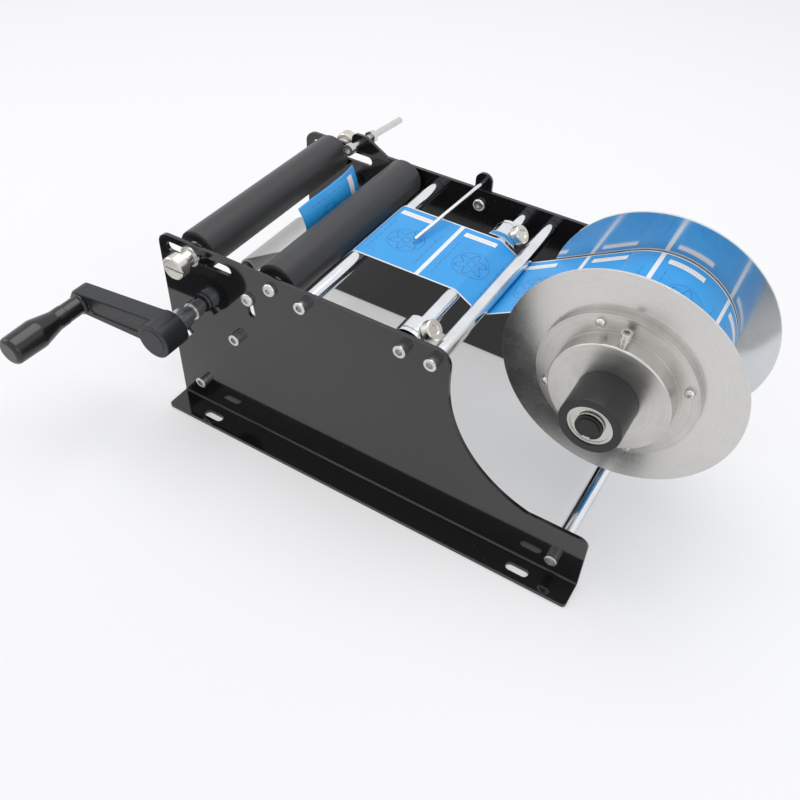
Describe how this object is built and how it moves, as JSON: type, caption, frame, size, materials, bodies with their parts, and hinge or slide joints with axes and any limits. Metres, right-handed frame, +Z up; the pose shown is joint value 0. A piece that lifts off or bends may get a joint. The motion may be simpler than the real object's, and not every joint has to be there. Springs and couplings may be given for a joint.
{
  "type": "bottle labelling machine",
  "caption": "Hand-crank labelling machine for round bottles: two black side plates, rubber rollers, guide rods, a crank and a label reel.",
  "frame": {"origin": "centre of the four foot slots, on the bench surface", "axes": "+X from the bottle rollers towards the label reel, +Y from the crank side to the far side, +Z up"},
  "size_m": [0.5122, 0.3701, 0.232],
  "materials": {
    "black_coat": "gloss",
    "chrome_rod": "polished",
    "screw_steel": "satin",
    "roller_rubber": "matte",
    "roller_core": "matte",
    "bearing_steel": "polished",
    "axle_steel": "satin",
    "knob_steel": "satin",
    "disc_steel": "satin",
    "hub_metal": "satin",
    "sleeve_black": "satin",
    "shaft_black": "satin",
    "core_card": "matte",
    "label_paper": "satin",
    "liner_paper": "satin",
    "crank_black": "matte",
    "grip_black": "gloss",
    "collar_zinc": "satin"
  },
  "bodies": {
    "frame": {"crank_side_plate": "black_coat", "far_side_plate": "black_coat", "front_guide_rod": "chrome_rod", "middle_guide_rod": "chrome_rod", "rear_guide_rod": "chrome_rod", "middle_tie_rod": "chrome_rod", "front_tie_rod": "chrome_rod", "rear_tie_rod": "chrome_rod", "rod_screws": "screw_steel", "rear_roller_axle": "axle_steel", "rear_roller_spacers": "axle_steel", "rear_axle_screws": "screw_steel", "take_up_bushes": "axle_steel", "reel_shaft": "shaft_black", "reel_shaft_ring": "shaft_black", "reel_shaft_nut": "screw_steel", "label_web": "label_paper", "peeled_label": "label_paper", "pointer_fasteners": "screw_steel"},
    "front_carriage": {"front_roller_axle": "axle_steel", "front_roller_spacers": "axle_steel", "front_axle_washers": "screw_steel"},
    "front_roller": {"front_roller_core": "roller_core", "front_roller_cover": "roller_rubber", "front_roller_bearings": "bearing_steel"},
    "crank_knob": {"crank_side_knob": "knob_steel"},
    "far_knob": {"far_side_knob": "knob_steel"},
    "rear_roller": {"rear_roller_core": "roller_core", "rear_roller_cover": "roller_rubber", "rear_roller_bearings": "bearing_steel"},
    "peel_bar": {"peel_rod": "chrome_rod", "peel_rod_screws": "screw_steel"},
    "crank": {"take_up_shaft": "axle_steel", "take_up_core": "sleeve_black", "liner_roll": "liner_paper", "crank_collar": "collar_zinc", "crank_set_screw": "screw_steel", "crank_arm": "crank_black", "crank_cap": "crank_black", "grip_sleeve": "grip_black", "grip_pin": "screw_steel"},
    "crank_grip": {"grip": "grip_black"},
    "reel": {"label_core": "core_card", "label_roll": "label_paper", "far_disc": "disc_steel", "far_hub": "hub_metal", "reel_sleeve": "sleeve_black", "reel_bearings": "bearing_steel"},
    "near_flange": {"near_disc": "disc_steel", "near_hub": "hub_metal", "near_hub_screws": "screw_steel"},
    "lock_screw": {"hub_lock_screw": "screw_steel"},
    "near_collar": {"near_width_collar": "chrome_rod"},
    "near_thumb": {"near_thumb_screw": "knob_steel"},
    "far_collar": {"far_width_collar": "chrome_rod"},
    "far_thumb": {"far_thumb_screw": "knob_steel"},
    "bottle_stop": {"stop_bolt": "screw_steel", "stop_lock_nut": "screw_steel"},
    "pointer": {"pointer_bracket": "black_coat", "pointer_rod": "chrome_rod"}
  },
  "joints": [
    {"name": "front_axle_slide", "type": "slide", "parent": "frame", "child": "front_carriage", "axis": [1, 0, 0], "range_m": [-0.02, 0.011]},
    {"name": "front_roller_spin", "type": "hinge", "parent": "front_carriage", "child": "front_roller", "pos_m": [-0.155, 0, 0.16], "axis": [0, 1, 0], "continuous": true},
    {"name": "crank_knob_turn", "type": "hinge", "parent": "front_carriage", "child": "crank_knob", "pos_m": [-0.155, -0.105, 0.16], "axis": [0, 1, 0], "continuous": true},
    {"name": "far_knob_turn", "type": "hinge", "parent": "front_carriage", "child": "far_knob", "pos_m": [-0.155, 0.105, 0.16], "axis": [0, 1, 0], "continuous": true},
    {"name": "crank_turn", "type": "hinge", "parent": "frame", "child": "crank", "pos_m": [-0.161, 0, 0.105], "axis": [0, 1, 0], "continuous": true},
    {"name": "grip_spin", "type": "hinge", "parent": "crank", "child": "crank_grip", "pos_m": [-0.24873, -0.18, 0.0981], "axis": [0, 1, 0], "continuous": true},
    {"name": "rear_roller_spin", "type": "hinge", "parent": "frame", "child": "rear_roller", "pos_m": [-0.0805, 0, 0.16], "axis": [0, 1, 0], "continuous": true},
    {"name": "reel_spin", "type": "hinge", "parent": "frame", "child": "reel", "pos_m": [0.164, 0, 0.145], "axis": [0, 1, 0], "continuous": true},
    {"name": "near_flange_slide", "type": "slide", "parent": "reel", "child": "near_flange", "axis": [0, -1, 0], "range_m": [0, 0.028]},
    {"name": "lock_screw_turn", "type": "hinge", "parent": "near_flange", "child": "lock_screw", "pos_m": [0.164, -0.0457, 0.19], "axis": [0, 0, 1], "continuous": true},
    {"name": "peel_bar_slide", "type": "slide", "parent": "frame", "child": "peel_bar", "axis": [0.1392, 0, -0.9903], "range_m": [0, 0.013]},
    {"name": "near_collar_slide", "type": "slide", "parent": "frame", "child": "near_collar", "axis": [0, 1, 0], "range_m": [0, 0.044]},
    {"name": "near_thumb_turn", "type": "hinge", "parent": "near_collar", "child": "near_thumb", "pos_m": [0.04133, -0.082, 0.16655], "axis": [0.7771, 0, 0.6293], "continuous": true},
    {"name": "far_collar_slide", "type": "slide", "parent": "frame", "child": "far_collar", "axis": [0, 1, 0], "range_m": [0, 0.028]},
    {"name": "far_thumb_turn", "type": "hinge", "parent": "far_collar", "child": "far_thumb", "pos_m": [0.04133, 0.054, 0.16655], "axis": [0.7771, 0, 0.6293], "continuous": true},
    {"name": "stop_slide", "type": "slide", "parent": "frame", "child": "bottle_stop", "axis": [0, 0.9954, -0.0958], "range_m": [-0.011, 0.012]},
    {"name": "pointer_swing", "type": "hinge", "parent": "frame", "child": "pointer", "pos_m": [-0.0097, 0.099, 0.1564], "axis": [0, 1, 0], "range_deg": [0, 30]}
  ],
  "couplings": [
    {"joint": "rear_roller_spin", "follows": "crank_turn", "ratio": -0.45455},
    {"joint": "reel_spin", "follows": "crank_turn", "ratio": 0.12931}
  ]
}
